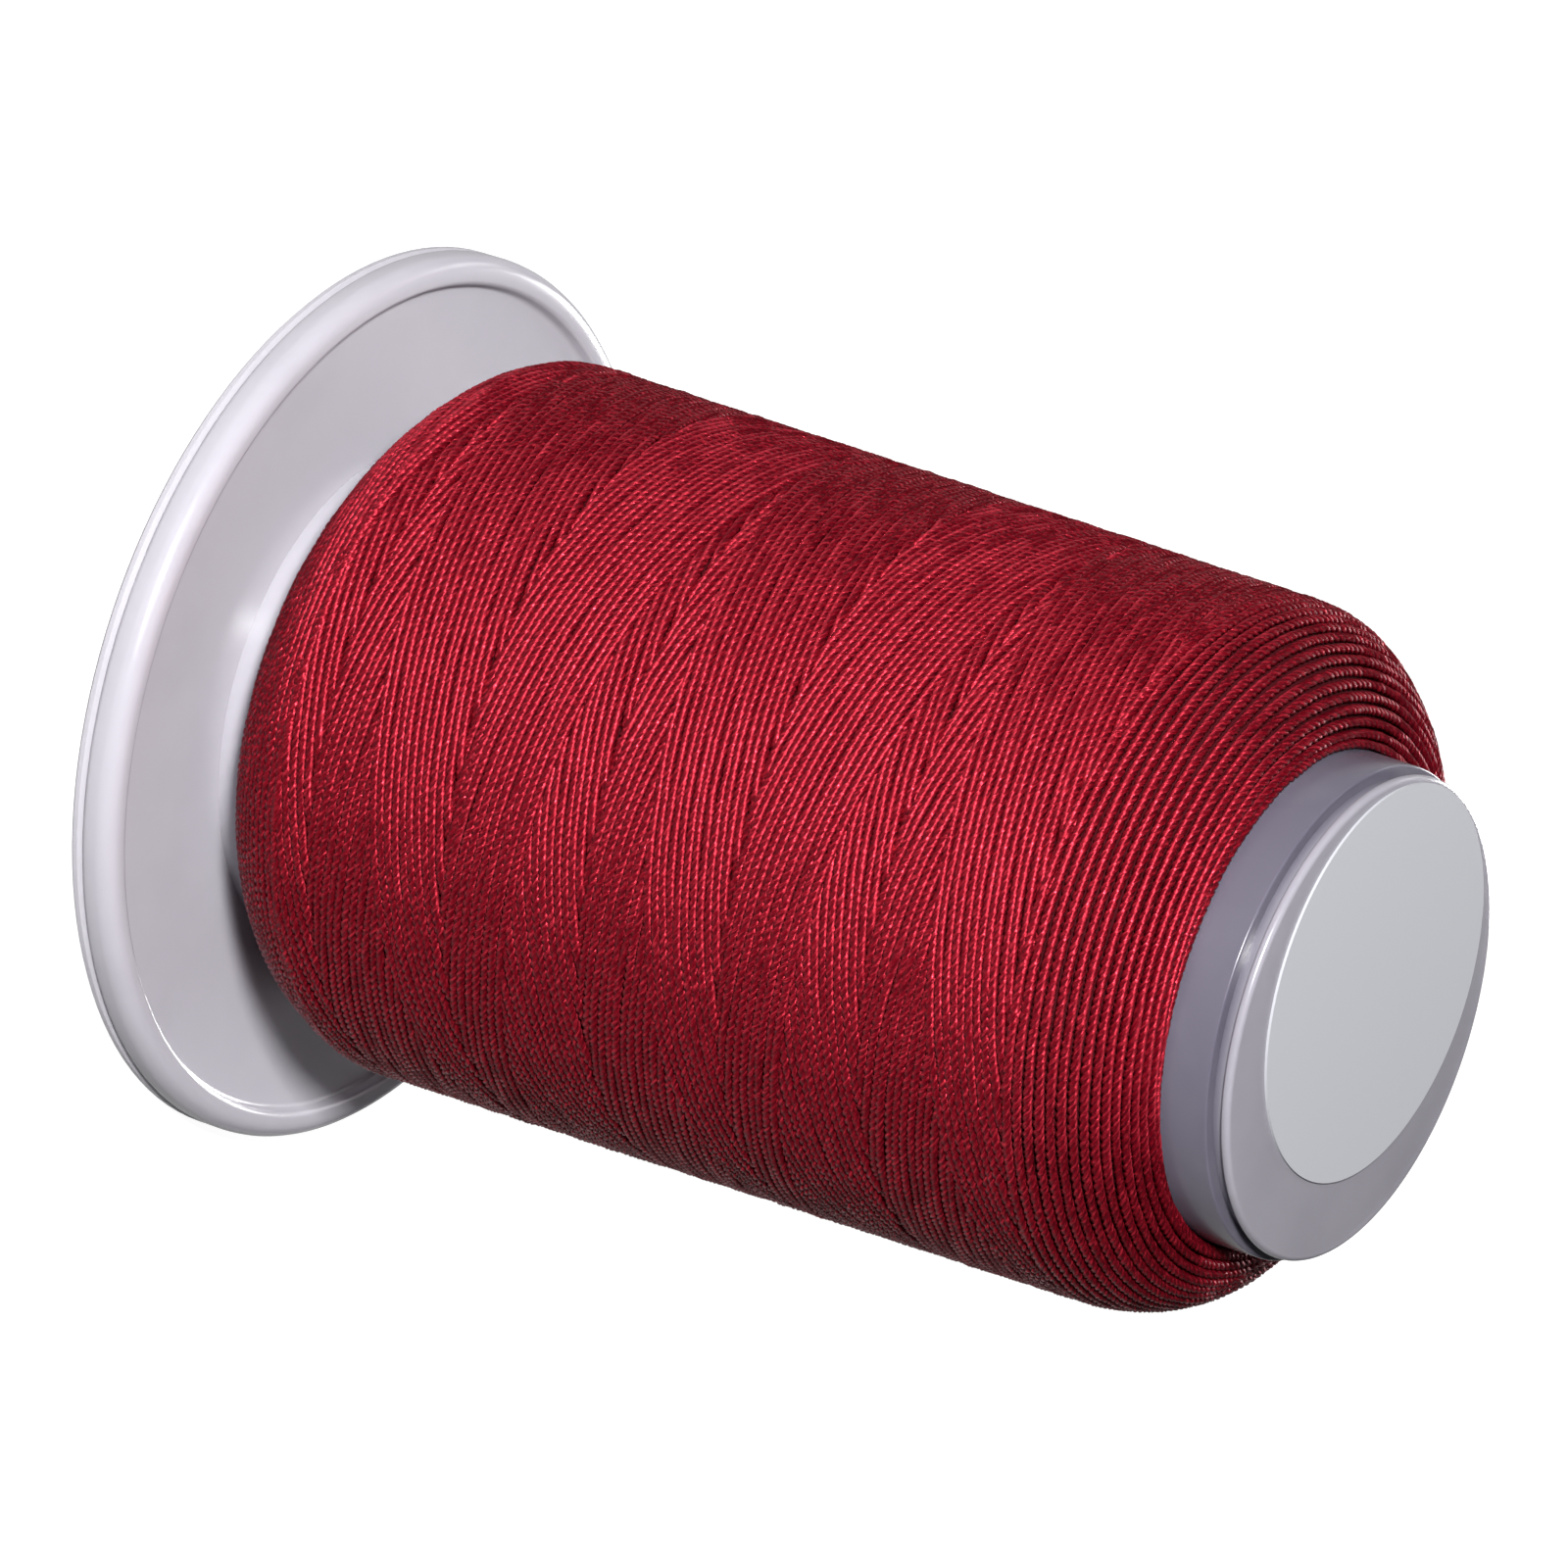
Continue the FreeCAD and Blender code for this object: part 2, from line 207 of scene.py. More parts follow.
def dyed_thread(colours):
    """Dyed three-ply thread: a satin ridge on each ply, painted shade in the grooves between, painted
    highlights on raised bundles, and fine fibre streaks.
    """
    material, tree, shader = new_material("dyed_twisted_thread", {
        "IOR": 2.4, "Anisotropic": 0.9, "Anisotropic Rotation": 0.25, "Specular Tint": linear("ff4a5e")})
    uv = add_node(tree, "ShaderNodeUVMap", {"uv_map": "strand"})
    fibre_way = add_node(tree, "ShaderNodeTangent", {"direction_type": "UV_MAP", "uv_map": "strand"})
    tree.links.new(fibre_way.outputs[0], shader.inputs["Tangent"])
    split = add_node(tree, "ShaderNodeSeparateXYZ", links={0: uv.outputs[0]})
    # The map's second value goes once round the cord, so each ply's back is one crest of the cosine
    turn = add_node(tree, "ShaderNodeMath", {"operation": "MULTIPLY", 1: PLIES * 2 * math.pi},
                    {0: split.outputs["Y"]})
    wave = add_node(tree, "ShaderNodeMath", {"operation": "COSINE"}, {0: turn.outputs[0]})
    ridge = add_node(tree, "ShaderNodeMapRange", {1: -1.0, 2: 0.4, 3: 0.25, 4: 1.0}, {0: wave.outputs[0]})
    # Bundles of fibres are about 0.15 mm wide and catch the light over about 0.4 mm along the cord
    stretch = add_node(tree, "ShaderNodeMapping", {"Scale": (2.4, 11.0, 1.0)}, {"Vector": uv.outputs[0]})
    fibres = add_node(tree, "ShaderNodeTexNoise", {"Scale": 1.0, "Detail": 3.0, "Roughness": 0.65},
                      {"Vector": stretch.outputs[0]})
    streak = add_node(tree, "ShaderNodeMapRange", {1: 0.25, 2: 0.6, 3: 0.45, 4: 1.0},
                      {0: fibres.outputs[0]})
    depth = add_node(tree, "ShaderNodeMath", {"operation": "MULTIPLY"},
                     {0: ridge.outputs[0], 1: streak.outputs[0]})
    # Painted shade where the cord is hollow between the plies, its dyed colour on the ridges, and a painted
    # highlight where a bundle stands out
    body = add_node(tree, "ShaderNodeMix", {"data_type": "RGBA"}, {0: depth.outputs[0]})
    body.inputs[6].default_value = (*colours.thread_shade, 1)
    body.inputs[7].default_value = (*colours.thread, 1)
    fleck = add_node(tree, "ShaderNodeMapRange", {1: 0.52, 2: 0.64}, {0: fibres.outputs[0]})
    bright = add_node(tree, "ShaderNodeMath", {"operation": "MULTIPLY"},
                      {0: fleck.outputs[0], 1: ridge.outputs[0]})
    mix = add_node(tree, "ShaderNodeMix", {"data_type": "RGBA"}, {0: bright.outputs[0], 6: body.outputs[2]})
    mix.inputs[7].default_value = (*colours.thread_painted_glint, 1)
    tree.links.new(mix.outputs[2], shader.inputs["Base Color"])
    # The raised bundles are smooth and shine, and the grooves between them are dull
    dull = add_node(tree, "ShaderNodeMapRange", {3: 0.45, 4: 0.26}, {0: bright.outputs[0]})
    tree.links.new(dull.outputs[0], shader.inputs["Roughness"])
    shine = add_node(tree, "ShaderNodeMapRange", {3: 0.4, 4: 1.0}, {0: bright.outputs[0]})
    tree.links.new(shine.outputs[0], shader.inputs["Specular IOR Level"])
    bump = add_node(tree, "ShaderNodeBump", {"Strength": 0.8, "Distance": 0.06 * MM},
                    {"Height": fibres.outputs[0]})
    tree.links.new(bump.outputs[0], shader.inputs["Normal"])
    return material


def packed_thread_painted_shade():
    """Thread in the dark under the outer layer: deep red darkened as painted shade, dull, with a low swell
    up the package.
    """
    # Painted shade: the base colour is darker than the dyed thread's
    material, tree, shader = new_material("packed_thread_painted_shade", {
        "Base Color": linear("36050b"), "Roughness": 0.9, "Specular IOR Level": 0.1})
    place = add_node(tree, "ShaderNodeTexCoord")
    # The swell's crests are about 3.8 mm apart
    swell = add_node(tree, "ShaderNodeTexWave", {"bands_direction": "Z", "Scale": 1 / (0.6 * MM) / 20},
                     {"Vector": place.outputs["Object"]})
    bump = add_node(tree, "ShaderNodeBump", {"Strength": 0.5, "Distance": 0.1 * MM},
                    {"Height": swell.outputs["Fac"]})
    tree.links.new(bump.outputs[0], shader.inputs["Normal"])
    return material


def clouded_polypropylene(colours):
    """Injection-moulded natural polypropylene: milky and glossy, with painted shade that greys it over the
    hollow barrel.
    """
    material, tree, shader = new_material("moulded_polypropylene", {
        "IOR": 1.49, "Transmission Weight": 0.3, "Subsurface Weight": 0.3,
        "Subsurface Radius": (1.0, 1.0, 1.1), "Subsurface Scale": 1.0 * MM})
    place = add_node(tree, "ShaderNodeTexCoord")
    # Flow marks about 6 mm across and a fine orange peel about 0.4 mm across
    flow = add_node(tree, "ShaderNodeTexNoise", {"Scale": 1 / (6 * MM), "Detail": 2.0},
                    {"Vector": place.outputs["Object"]})
    peel = add_node(tree, "ShaderNodeTexNoise", {"Scale": 1 / (0.4 * MM), "Detail": 1.0},
                    {"Vector": place.outputs["Object"]})
    gloss = add_node(tree, "ShaderNodeMapRange", {1: 0.0, 2: 1.0, 3: 0.16, 4: 0.3}, {0: flow.outputs[0]})
    tree.links.new(gloss.outputs[0], shader.inputs["Roughness"])
    fine = add_node(tree, "ShaderNodeBump", {"Strength": 0.1, "Distance": 0.02 * MM},
                    {"Height": peel.outputs[0]})
    tree.links.new(fine.outputs[0], shader.inputs["Normal"])
    # Painted shade: the wall over the dark hollow is greyer than the flange, and the solid rim round the
    # end lies between
    high = add_node(tree, "ShaderNodeSeparateXYZ", links={0: place.outputs["Object"]})
    hollow = add_node(tree, "ShaderNodeMapRange", {1: 3 * MM, 2: 12 * MM}, {0: high.outputs["Z"]})
    rim = add_node(tree, "ShaderNodeMapRange", {1: 66.2 * MM, 2: 67.4 * MM, 4: 0.6}, {0: high.outputs["Z"]})
    hollow_shade = add_node(tree, "ShaderNodeMath", {"operation": "SUBTRACT", "use_clamp": True},
                      {0: hollow.outputs[0], 1: rim.outputs[0]})
    cloudy = add_node(tree, "ShaderNodeMapRange", {1: 0.3, 2: 0.7, 3: -0.05, 4: 0.05}, {0: flow.outputs[0]})
    share = add_node(tree, "ShaderNodeMath", {"operation": "ADD", "use_clamp": True},
                     {0: hollow_shade.outputs[0], 1: cloudy.outputs[0]})
    mix = add_node(tree, "ShaderNodeMix", {"data_type": "RGBA"}, {0: share.outputs[0]})
    mix.inputs[6].default_value = (*colours.plastic, 1)
    mix.inputs[7].default_value = (*colours.hollow, 1)
    tree.links.new(mix.outputs[2], shader.inputs["Base Color"])
    return material


def coated_paper(colours):
    """Coated label paper: matt white with a faint tooth."""
    material, tree, shader = new_material("coated_label_paper", {
        "Base Color": (*colours.label, 1), "Roughness": 0.55, "IOR": 1.5})
    place = add_node(tree, "ShaderNodeTexCoord")
    # Paper tooth about 0.15 mm across
    tooth = add_node(tree, "ShaderNodeTexNoise", {"Scale": 1 / (0.15 * MM), "Detail": 3.0},
                     {"Vector": place.outputs["Object"]})
    bump = add_node(tree, "ShaderNodeBump", {"Strength": 0.3, "Distance": 0.01 * MM},
                    {"Height": tooth.outputs[0]})
    tree.links.new(bump.outputs[0], shader.inputs["Normal"])
    return material


def studio_white():
    """Matt floor that shows white to the camera, with the object's soft shadow on it."""
    material, tree, shader = new_material("studio_white", {
        "Base Color": linear("747474"), "Roughness": 0.9, "Specular IOR Level": 0.2,
        "Emission Color": linear("ffffff")})
    path = add_node(tree, "ShaderNodeLightPath")
    seen = add_node(tree, "ShaderNodeMath", {"operation": "ADD", "use_clamp": True},
                    {0: path.outputs["Is Camera Ray"], 1: path.outputs["Is Transmission Ray"]})
    # Reflections get a third of the white, so that the thread keeps its dark sides
    mirrored = add_node(tree, "ShaderNodeMath", {"operation": "MULTIPLY", 1: 0.35},
                        {0: path.outputs["Is Glossy Ray"]})
    shown = add_node(tree, "ShaderNodeMath", {"operation": "ADD", "use_clamp": True},
                     {0: seen.outputs[0], 1: mirrored.outputs[0]})
    glow = add_node(tree, "ShaderNodeMath", {"operation": "MULTIPLY", 1: 0.96}, {0: shown.outputs[0]})
    tree.links.new(glow.outputs[0], shader.inputs["Emission Strength"])
    return material


def spun_piece(name, profile, steps=256):
    """A turned piece from corners of (radius, height), as a smooth closed shell."""
    shell = bmesh.new()
    corners = [shell.verts.new((radius, 0, height)) for radius, height in profile]
    edges = [shell.edges.new(pair) for pair in zip(corners, corners[1:] + corners[:1])]
    bmesh.ops.spin(shell, geom=corners + edges, axis=(0, 0, 1), cent=(0, 0, 0), angle=2 * math.pi,
                   steps=steps, use_merge=True)
    bmesh.ops.remove_doubles(shell, verts=shell.verts, dist=0.001 * MM)
    bmesh.ops.recalc_face_normals(shell, faces=shell.faces)
    piece = link_shape(name, shell)
    for face in piece.data.polygons:
        face.use_smooth = True
    sharpest_smooth = math.radians(35)
    piece.data.set_sharp_from_angle(angle=sharpest_smooth)
    return piece


def rounded(corners, steps=6):
    """Profile points from corners of (radius, height, rounding), where a rounding of 0 stays sharp."""
    places = [Vector(corner[:2]) for corner in corners]
    points = []
    for index, here in enumerate(places):
        rounding = corners[index][2]
        if not rounding:
            points.append(tuple(here))
            continue
        to_before = (places[index - 1] - here).normalized()
        to_after = (places[(index + 1) % len(places)] - here).normalized()
        half = to_before.angle(to_after) / 2
        middle_way = (to_before + to_after).normalized()
        centre = here + middle_way * (rounding / math.sin(half))
        first = here + to_before * (rounding / math.tan(half)) - centre
        last = here + to_after * (rounding / math.tan(half)) - centre
        sweep = first.angle(last)
        for step in range(steps + 1):
            share = step / steps
            direction = first * math.sin((1 - share) * sweep) + last * math.sin(share * sweep)
            points.append(tuple(centre + direction / math.sin(sweep)))
    return points


def barrel_corners(sizes):
    """The barrel's section, as corners of (radius, height, rounding) from the socket out and round."""
    # The flange all but meets the base plate, so that only a hairline shows between them
    flange_bottom = FLANGE_BOTTOM - 0.08 * MM
    lip_top = FLANGE_TOP + sizes.lip_height
    lip_inside = FLANGE_RADIUS - sizes.lip_width
    lip_slope = 0.15 * MM
    neck_groove, cap = 13.2 * MM, 13.6 * MM
    cap_bottom = TOP_HEIGHT - 0.5 * MM
    neck_top = cap_bottom - 0.7 * MM
    bore, hub_bottom = 5.5 * MM, 3.4 * MM
    wall_thickness = 1.5 * MM
    socket, snap_groove = 13.4 * MM, 13.7 * MM
    groove_low, groove_high, socket_top = 2.7 * MM, 5.7 * MM, 6.6 * MM
    return [
        (socket, flange_bottom, 0),
        (FLANGE_RADIUS, flange_bottom, 0.35 * MM),
        (FLANGE_RADIUS, lip_top, 1.0 * MM),
        (lip_inside, lip_top, 0.3 * MM),
        (lip_inside - lip_slope, FLANGE_TOP, 0.3 * MM),
        (WALL_AT_FLANGE, FLANGE_TOP, 0),
        (WALL_AT_NECK, neck_top, 0.12 * MM),
        (neck_groove, neck_top, 0),
        (neck_groove, cap_bottom, 0),
        (cap, cap_bottom, 0.12 * MM),
        (cap, TOP_HEIGHT, 0.3 * MM),
        (bore, TOP_HEIGHT, 0),
        (bore, hub_bottom, 0),
        (HUB_RADIUS, hub_bottom, 0),
        (HUB_RADIUS, CEILING, 0),
        (WALL_AT_NECK - wall_thickness, CEILING, 0),
        (socket, socket_top, 0),
        (socket, groove_high, 0),
        (snap_groove, groove_high, 0),
        (snap_groove, groove_low, 0),
        (socket, groove_low, 0),
    ]


def rib_plates():
    """Four plates from the hub to the barrel's wall, sunk a little into both and into the end wall."""
    bottom, thickness = 3.6 * MM, 1.0 * MM
    in_hub, in_wall, in_ceiling = 0.6 * MM, 0.75 * MM, 0.7 * MM
    plates = bmesh.new()
    for quarter in range(4):
        plate = bmesh.ops.create_cube(plates, size=1)["verts"]
        for vert in plate:
            high = vert.co.z > 0
            outer = (WALL_AT_NECK if high else WALL_AT_FLANGE) - in_wall
            reach = outer if vert.co.x > 0 else HUB_RADIUS - in_hub
            vert.co = (reach, vert.co.y * thickness, CEILING + in_ceiling if high else bottom)
        turn = Matrix.Rotation(quarter * math.pi / 2, 3, "Z")
        bmesh.ops.rotate(plates, verts=plate, cent=(0, 0, 0), matrix=turn)
    return plates


def smooth_step(share):
    """A share from 0 to 1, eased at both ends."""
    share = np.clip(share, 0, 1)
    return share * share * (3 - 2 * share)


class Package:
    """The wound package's outer line: cord centres at a distance along it, from the flange to the neck."""

    def __init__(self, sizes):
        half = sizes.cord / 2
        radius = sizes.package_radius - half
        top_radius = radius - sizes.package_taper
        # The foot's section is a quarter turn from the barrel's wall, drawn flatter than a circle
        flatness = 4 / 3
        foot_low = FLANGE_TOP + sizes.foot_gap + half
        wall = WALL_AT_FLANGE + half
        foot_turn = np.linspace(0.02, math.pi / 2, 80)
        foot_r = wall + (radius - wall) * np.sin(foot_turn) ** flatness
        foot_z = foot_low + sizes.foot_length * (1 - np.cos(foot_turn) ** flatness)
        # The body tapers evenly up to the shoulder
        shoulder_start = PACKAGE_END + half - sizes.shoulder_length
        body_z = np.linspace(foot_z[-1], shoulder_start, 400)[1:]
        body_r = np.interp(body_z, [foot_z[-1], shoulder_start], [radius, top_radius])
        # The shoulder's section is a little less than a quarter turn, down to the neck's wall
        end_radius = THREAD_AT_SHOULDER + half
        depth = top_radius - end_radius
        shoulder_turn = np.linspace(0, math.radians(84), 100)[1:]
        inward = (1 - np.cos(shoulder_turn)) / (1 - math.cos(shoulder_turn[-1]))
        shoulder_r = top_radius - depth * inward
        shoulder_z = shoulder_start + sizes.shoulder_length * np.sin(shoulder_turn)
        self.r = np.concatenate([foot_r, body_r, shoulder_r])
        self.z = np.concatenate([foot_z, body_z, shoulder_z])
        run = np.hypot(np.diff(self.r), np.diff(self.z))
        self.s = np.concatenate([[0], np.cumsum(run)])
        self.body_start = self.s[len(foot_z) - 1]
        self.body_end = self.s[len(foot_z) + len(body_z) - 1]
        self.length = self.s[-1]
        # The thread lies true where it touches the barrel, and leans fully to one side this far from there
        lean_run = 8 * MM
        share = np.clip(np.minimum(self.s, self.length - self.s) / lean_run, 0, 1)
        self.offset = -sizes.package_offset * smooth_step(share)
        slope_r, slope_z = np.gradient(self.r, self.s), np.gradient(self.z, self.s)
        size = np.hypot(slope_r, slope_z)
        self.out_r, self.out_z = slope_z / size, -slope_r / size

    def place(self, s, angle, lift):
        """Points at distances s along the line and angles round the axis, and the outward normals there."""
        r, z = np.interp(s, self.s, self.r), np.interp(s, self.s, self.z)
        out_r, out_z = np.interp(s, self.s, self.out_r), np.interp(s, self.s, self.out_z)
        r, z = r + lift * out_r, z + lift * out_z
        offset = np.interp(s, self.s, self.offset)
        points = np.stack([r * np.cos(angle) + offset, r * np.sin(angle), z], axis=1)
        normals = np.stack([out_r * np.cos(angle), out_r * np.sin(angle), out_z], axis=1)
        return points, normals


def wander(distance, wave, amount, generator):
    """A smooth random swing along a cord: about one swing in each wave length."""
    knots = np.arange(distance[0] - wave, distance[-1] + 2 * wave, wave)
    values = generator.normal(0, amount, len(knots))
    place = (distance - knots[0]) / wave
    low = np.floor(place).astype(int)
    share = smooth_step(place - low)
    return values[low] * (1 - share) + values[low + 1] * share


def strand_rings(points, normals, sizes, generator, unevenness):
    """A twisted cord on a line of points: its rings, their distances and each corner's share round."""
    along = np.gradient(points, axis=0)
    along /= np.linalg.norm(along, axis=1)[:, None]
    across = np.cross(along, normals)
    across /= np.linalg.norm(across, axis=1)[:, None]
    outward = np.cross(across, along)
    distance = np.concatenate([[0], np.cumsum(np.linalg.norm(np.diff(points, axis=0), axis=1))])
    # The cord sways to the sides and up and down, its twist comes early or late, and its thickness swells
    sideways_wave, upward_wave, twist_wave, swell_wave = 4 * MM, 2.5 * MM, 3 * MM, 1.2 * MM
    twist_drift, swell_share = 0.9, 0.05
    aside = wander(distance, sideways_wave, unevenness, generator)
    lift = wander(distance, upward_wave, unevenness / 2, generator)
    points = points + across * aside[:, None] + outward * lift[:, None]
    phase = generator.uniform(0, 2 * math.pi) + wander(distance, twist_wave, twist_drift, generator)
    # Each ply shows two points on its back and one in the groove beside it
    ply_angles = np.radians([-26, 26, 60])
    ply_radii = np.array([0.5, 0.5, 0.38]) * sizes.cord
    angles = np.concatenate([ply_angles + math.radians(360 / PLIES) * ply for ply in range(PLIES)])
    radii = np.tile(ply_radii, PLIES)
    twist = phase + 2 * math.pi * distance / sizes.twist_length
    swell = 1 + wander(distance, swell_wave, swell_share, generator)
    turned = (angles[None, :] + twist[:, None])[:, :, None]
    spokes = np.cos(turned) * outward[:, None, :] + np.sin(turned) * across[:, None, :]
    rings = points[:, None, :] + spokes * radii[None, :, None] * swell[:, None, None]
    # Each cord starts at a place of its own in the fibre pattern
    pattern_start = generator.uniform(0, 0.5)
    return rings, distance + pattern_start, angles / (2 * math.pi)


def strand_mesh(name, strands):
    """One closed mesh of many cords, with a map of (length in millimetres, share of the way round)."""
    places, faces, maps = [], [], []
    ends, end_maps = [], []
    start = 0
    for rings, distance, around in strands:
        count, sides = rings.shape[:2]
        places.append(rings.reshape(-1, 3))
        row = np.arange(count - 1)[:, None] * sides + start
        ring = np.arange(sides)
        after = (ring + 1) % sides
        quads = np.stack([row + ring, row + after, row + sides + after, row + sides + ring], axis=2)
        faces.append(quads.reshape(-1, 4))
        u, v = distance / MM, np.append(around, around[0] + 1)
        grid = np.stack(np.meshgrid(u, v, indexing="ij"), axis=2)
        corners = np.stack([grid[:-1, :-1], grid[:-1, 1:], grid[1:, 1:], grid[1:, :-1]], axis=2)
        maps.append(corners.reshape(-1, 2))
        # A flat end closes the cord at its first ring and at its last, with a map that isn't one line
        ends += [start + ring[::-1], start + (count - 1) * sides + ring]
        bulge = 0.1 * np.cos(2 * math.pi * around)
        end_maps += [np.stack([u[0] + bulge, around], 1)[::-1], np.stack([u[-1] + bulge, around], 1)]
        start += count * sides
    places, faces, maps = np.concatenate(places), np.concatenate(faces), np.concatenate([*maps, *end_maps])
    corner_list = np.concatenate([faces.ravel(), *ends])
    end_starts = faces.size + len(ends[0]) * np.arange(len(ends))
    first_corners = np.concatenate([np.arange(0, faces.size, 4), end_starts])
    mesh = bpy.data.meshes.new(name)
    mesh.vertices.add(len(places))
    mesh.vertices.foreach_set("co", places.astype(np.float32).ravel())
    mesh.loops.add(len(corner_list))
    mesh.loops.foreach_set("vertex_index", corner_list.astype(np.int32))
    mesh.polygons.add(len(first_corners))
    mesh.polygons.foreach_set("loop_start", first_corners.astype(np.int32))
    mesh.polygons.foreach_set("use_smooth", np.arange(len(first_corners)) < len(faces))
    layer = mesh.uv_layers.new(name="strand")
    layer.data.foreach_set("uv", maps.astype(np.float32).ravel())
    mesh.update(calc_edges=True)
    mesh.validate()
    return link_piece(name, mesh)


def crossing_strands(package, sizes):
    """The body's crossing thread: each visible stretch of both lays, and its middle along the line."""
    generator = np.random.default_rng(7)
    pitch = sizes.wind_pitch
    spacing = sizes.cord * 0.88
    strands = round(pitch / spacing)
    turn_length = math.hypot(pitch, 2 * math.pi * sizes.package_radius)
    # Both lays run on under the turns at the package's two ends
    start, end = package.body_start - 1.2 * MM, package.body_end + 0.6 * MM
    line = np.arange(start, end, 0.01 * MM)
    fewest_samples, fewest_rings = 5, 8
    # Each stretch runs on this far under the other lay
    overlap = 0.22 * MM
    # The second lay's newest strand starts this share of a turn on from the first lay's
    lay_shift = 0.15
    stretches = []
    for sense in (1, -1):
        for strand in range(strands):
            # A strand's age is its share of a turn behind the newest of its lay
            age = (strand + (0.5 if sense < 0 else 0.0)) / strands
            # It is on top wherever the strand of the other lay that crosses it is older
            crossing_age = np.mod(age + sense * lay_shift - line * (2 * sense / pitch), 1.0)
            on_top = crossing_age > age
            changes = np.flatnonzero(np.diff(on_top.astype(int)))
            bounds = [0, *(changes + 1), len(line) - 1]
            for low, high in zip(bounds, bounds[1:]):
                if not on_top[(low + high) // 2] or high - low < fewest_samples:
                    continue
                first, last = max(line[low] - overlap, start), min(line[high] + overlap, end)
                length = (last - first) / pitch * turn_length
                count = max(fewest_rings, int(length / sizes.ring_step))
                along = np.linspace(first, last, count)
                angle = 2 * math.pi * (sense * along / pitch - age + (0.0 if sense > 0 else lay_shift))
                dip = np.minimum(smooth_step((along - first) / (2 * overlap)),
                                 smooth_step((last - along) / (2 * overlap)))
                points, normals = package.place(along, angle, -sizes.layer_drop * (1 - dip))
                rings = strand_rings(points, normals, sizes, generator, sizes.unevenness)
                stretches.append(((first + last) / 2, rings))
    return stretches


def parallel_turns(package, sizes, first, last, pitch, start_angle):
    """Close turns from one distance along the package's line to another, closed by a level turn."""
    turns = (last - first) / pitch + 1
    middle_radius = np.interp((first + last) / 2, package.s, package.r)
    count = int(turns * 2 * math.pi * middle_radius / sizes.ring_step)
    turn = np.linspace(0, turns, count)
    along = np.minimum(first + turn * pitch, last)
    lift = 0.02 * MM
    points, normals = package.place(along, start_angle + 2 * math.pi * turn, lift)
    return strand_rings(points, normals, sizes, np.random.default_rng(11), sizes.unevenness / 3)


def add_floor():
    """A wide pale sheet under the spool."""
    sheet = bmesh.new()
    bmesh.ops.create_grid(sheet, x_segments=1, y_segments=1, size=3.0)
    floor = link_shape("floor", sheet)
    floor.data.materials.append(studio_white())


def add_surroundings(scene):
    """A dim world, which only what shines through the plastic sees as a white studio."""
    world = bpy.data.worlds.new("studio")
    scene.world = world
    world.use_nodes = True
    tree = world.node_tree
    background = tree.nodes["Background"]
    background.inputs["Color"].default_value = (1, 1, 1, 1)
    path = add_node(tree, "ShaderNodeLightPath")
    light = add_node(tree, "ShaderNodeMapRange", {3: 0.05, 4: 0.95},
                     {0: path.outputs["Is Transmission Ray"]})
    tree.links.new(light.outputs[0], background.inputs["Strength"])


def add_lamps(scene):
    """A small key lamp for the sheen, and two soft ones for the far sides, all aimed at the spool."""
    aim = Vector((0, 0, 30))
    # Name, place in millimetres, size in millimetres and power in watts
    lamps = (
        ("key", (-95, -405, 290), (70, 70), 5.8),
        ("rim", (-300, 300, 170), (60, 160), 0.15),
        ("back", (-120, 420, 90), (160, 160), 1.1),
    )
    for name, place, extent, power in lamps:
        data = bpy.data.lights.new(name, "AREA")
        data.shape = "RECTANGLE"
        data.size, data.size_y = (side * MM for side in extent)
        data.energy = power
        lamp = bpy.data.objects.new(name, data)
        scene.collection.objects.link(lamp)
        lamp.location = Vector(place) * MM
        lamp.rotation_euler = (aim - Vector(place)).to_track_quat("-Z", "Y").to_euler()


def add_camera(scene):
    """The camera where the photo's stood, rolled as the spool lies in the photo."""
    data = bpy.data.cameras.new("camera")
    data.lens = 241.25
    data.sensor_width = 36
    data.clip_end = 20
    camera = bpy.data.objects.new("camera", data)
    scene.collection.objects.link(camera)
    place, aim = Vector((0.0, -508.3, 316.7)), Vector((-2.5, 0.0, 29.0))
    look = (aim - place).to_track_quat("-Z", "Y").to_matrix().to_4x4()
    roll = Matrix.Rotation(math.radians(107.94), 4, "Z")
    camera.matrix_world = Matrix.Translation(place * MM) @ look @ roll
    scene.camera = camera


class SPOOL_OT_package_body(bpy.types.Operator):
    """Crossing layers of thread between the package's foot and shoulder"""

    bl_idname = "spool.package_body"
    bl_label = "Crossing thread"

    def execute(self, context):
        sizes = context.scene.spool_sizes
        package = Package(sizes)
        thread = dyed_thread(context.scene.spool_colours)
        stretches = crossing_strands(package, sizes)
        # A piece for each band of the line, of which the first and the last have no outer bound
        bands = 8
        edges = np.linspace(package.body_start, package.body_end, bands + 1)
        edges[0], edges[-1] = -math.inf, math.inf
        for number, (low, high) in enumerate(zip(edges, edges[1:]), start=1):
            members = [rings for middle, rings in stretches if low <= middle < high]
            piece = strand_mesh(f"crossing_thread_{number}", members)
            dress(piece, thread, SPOOL_BODY)
        return {"FINISHED"}


class SPOOL_OT_end_turns(bpy.types.Operator):
    """Close turns on the package's shoulder and foot"""

    bl_idname = "spool.end_turns"
    bl_label = "End turns"

    def execute(self, context):
        sizes = context.scene.spool_sizes
        package = Package(sizes)
        thread = bpy.data.materials["dyed_twisted_thread"]
        shoulder = parallel_turns(package, sizes, first=package.body_end - 0.2 * MM, last=package.length,
                                  pitch=sizes.shoulder_pitch, start_angle=0.4)
        foot = parallel_turns(package, sizes, first=0.2 * MM, last=package.body_start - 0.4 * MM,
                              pitch=sizes.cord * 1.05, start_angle=2.0)
        shoulder_piece = strand_mesh("shoulder_turns", [shoulder])
        dress(shoulder_piece, thread, SPOOL_BODY, ("thread_turns",))
        foot_piece = strand_mesh("foot_turns", [foot])
        dress(foot_piece, thread, SPOOL_BODY)
        return {"FINISHED"}


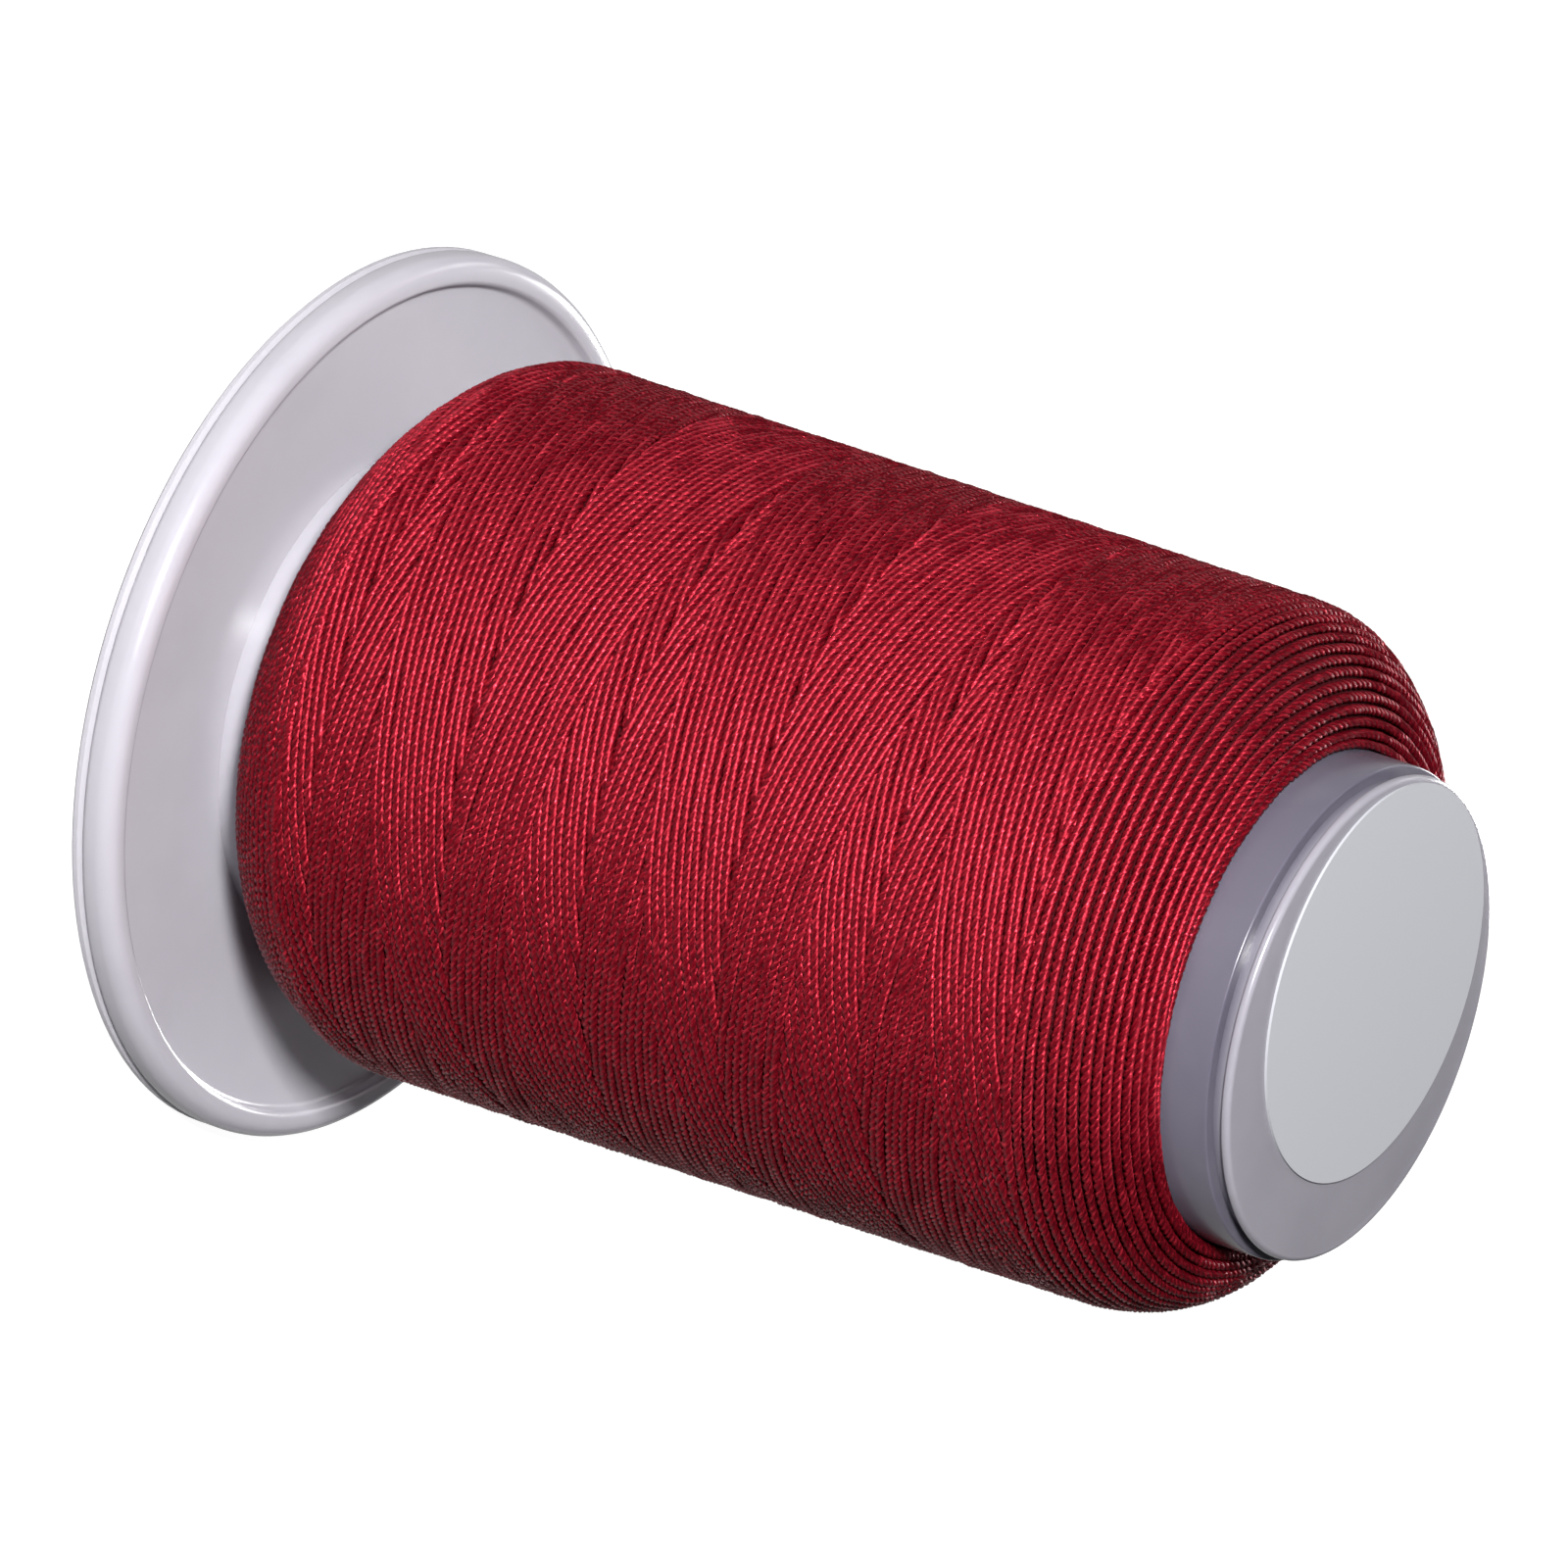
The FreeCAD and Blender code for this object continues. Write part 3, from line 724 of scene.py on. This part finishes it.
class SPOOL_OT_inner_layers(bpy.types.Operator):
    """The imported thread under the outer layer"""

    bl_idname = "spool.inner_layers"
    bl_label = "Inner layers"

    def execute(self, context):
        package = Package(context.scene.spool_sizes)
        # Every eighth point of the line is enough, sunk below the middles of the cords
        step, sunk = 8, 0.34 * MM
        radii, heights = package.r - sunk * package.out_r, package.z - sunk * package.out_z
        profile = list(zip(radii[::step], heights[::step]))
        profile += [(THREAD_AT_SHOULDER, heights[-1]), (THREAD_AT_FOOT, heights[0])]
        piece = spun_piece("inner_layers", profile)
        # What lies close to the barrel stays true, and the rest leans with the outer layer
        true_radius = 15.5 * MM
        for vertex in piece.data.vertices:
            if math.hypot(vertex.co.x, vertex.co.y) > true_radius:
                vertex.co.x += np.interp(vertex.co.z, package.z, package.offset)
        dress(piece, packed_thread_painted_shade(), SPOOL_BODY, ("thread_core",))
        return {"FINISHED"}


class SPOOL_OT_moulded_spool(bpy.types.Operator):
    """Barrel with lipped flange, grooved neck, spindle hub and ribs, and the clip-on base's finish"""

    bl_idname = "spool.moulded_spool"
    bl_label = "Moulded spool"

    def execute(self, context):
        plastic = clouded_polypropylene(context.scene.spool_colours)
        barrel = spun_piece("barrel_shell", rounded(barrel_corners(context.scene.spool_sizes)))
        dress(barrel, plastic, SPOOL_BODY, ("barrel",))
        ribs = link_shape("barrel_ribs", rib_plates())
        dress(ribs, plastic, SPOOL_BODY)
        finish_mesh(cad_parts["snap_base"].data, plastic)
        return {"FINISHED"}


class SPOOL_OT_end_label(bpy.types.Operator):
    """Paper disc on the barrel's end"""

    bl_idname = "spool.end_label"
    bl_label = "End label"

    def execute(self, context):
        finish_mesh(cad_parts["end_label"].data, coated_paper(context.scene.spool_colours))
        return {"FINISHED"}


class SPOOL_OT_stage(bpy.types.Operator):
    """White floor, soft lamps and the camera"""

    bl_idname = "spool.stage"
    bl_label = "Stage"

    def execute(self, context):
        add_floor()
        add_surroundings(context.scene)
        add_lamps(context.scene)
        add_camera(context.scene)
        context.scene.view_settings.view_transform = "Standard"
        return {"FINISHED"}


class SPOOL_PT_panel(bpy.types.Panel):
    """Sidebar panel with the sizes, colours and steps"""

    bl_idname = "SPOOL_PT_panel"
    bl_label = "Thread spool"
    bl_space_type = "VIEW_3D"
    bl_region_type = "UI"
    bl_category = "Spool"

    def draw(self, context):
        for group in (context.scene.spool_sizes, context.scene.spool_colours):
            for name in group.__annotations__:
                self.layout.prop(group, name)
        for step in STEPS:
            self.layout.operator(step.bl_idname)


STEPS = (SPOOL_OT_stage, SPOOL_OT_moulded_spool, SPOOL_OT_end_label, SPOOL_OT_package_body,
         SPOOL_OT_end_turns, SPOOL_OT_inner_layers)
CLASSES = (SpoolSizes, SpoolColours, *STEPS, SPOOL_PT_panel)


def register():
    for item in CLASSES:
        bpy.utils.register_class(item)
    bpy.types.Scene.spool_sizes = PointerProperty(type=SpoolSizes)
    bpy.types.Scene.spool_colours = PointerProperty(type=SpoolColours)


def unregister():
    del bpy.types.Scene.spool_colours
    del bpy.types.Scene.spool_sizes
    for item in reversed(CLASSES):
        bpy.utils.unregister_class(item)


def main():
    register()
    bpy.ops.spool.stage()
    bpy.ops.spool.moulded_spool()
    bpy.ops.spool.end_label()
    bpy.ops.spool.package_body()
    bpy.ops.spool.end_turns()
    bpy.ops.spool.inner_layers()


if __name__ == "__main__":
    main()
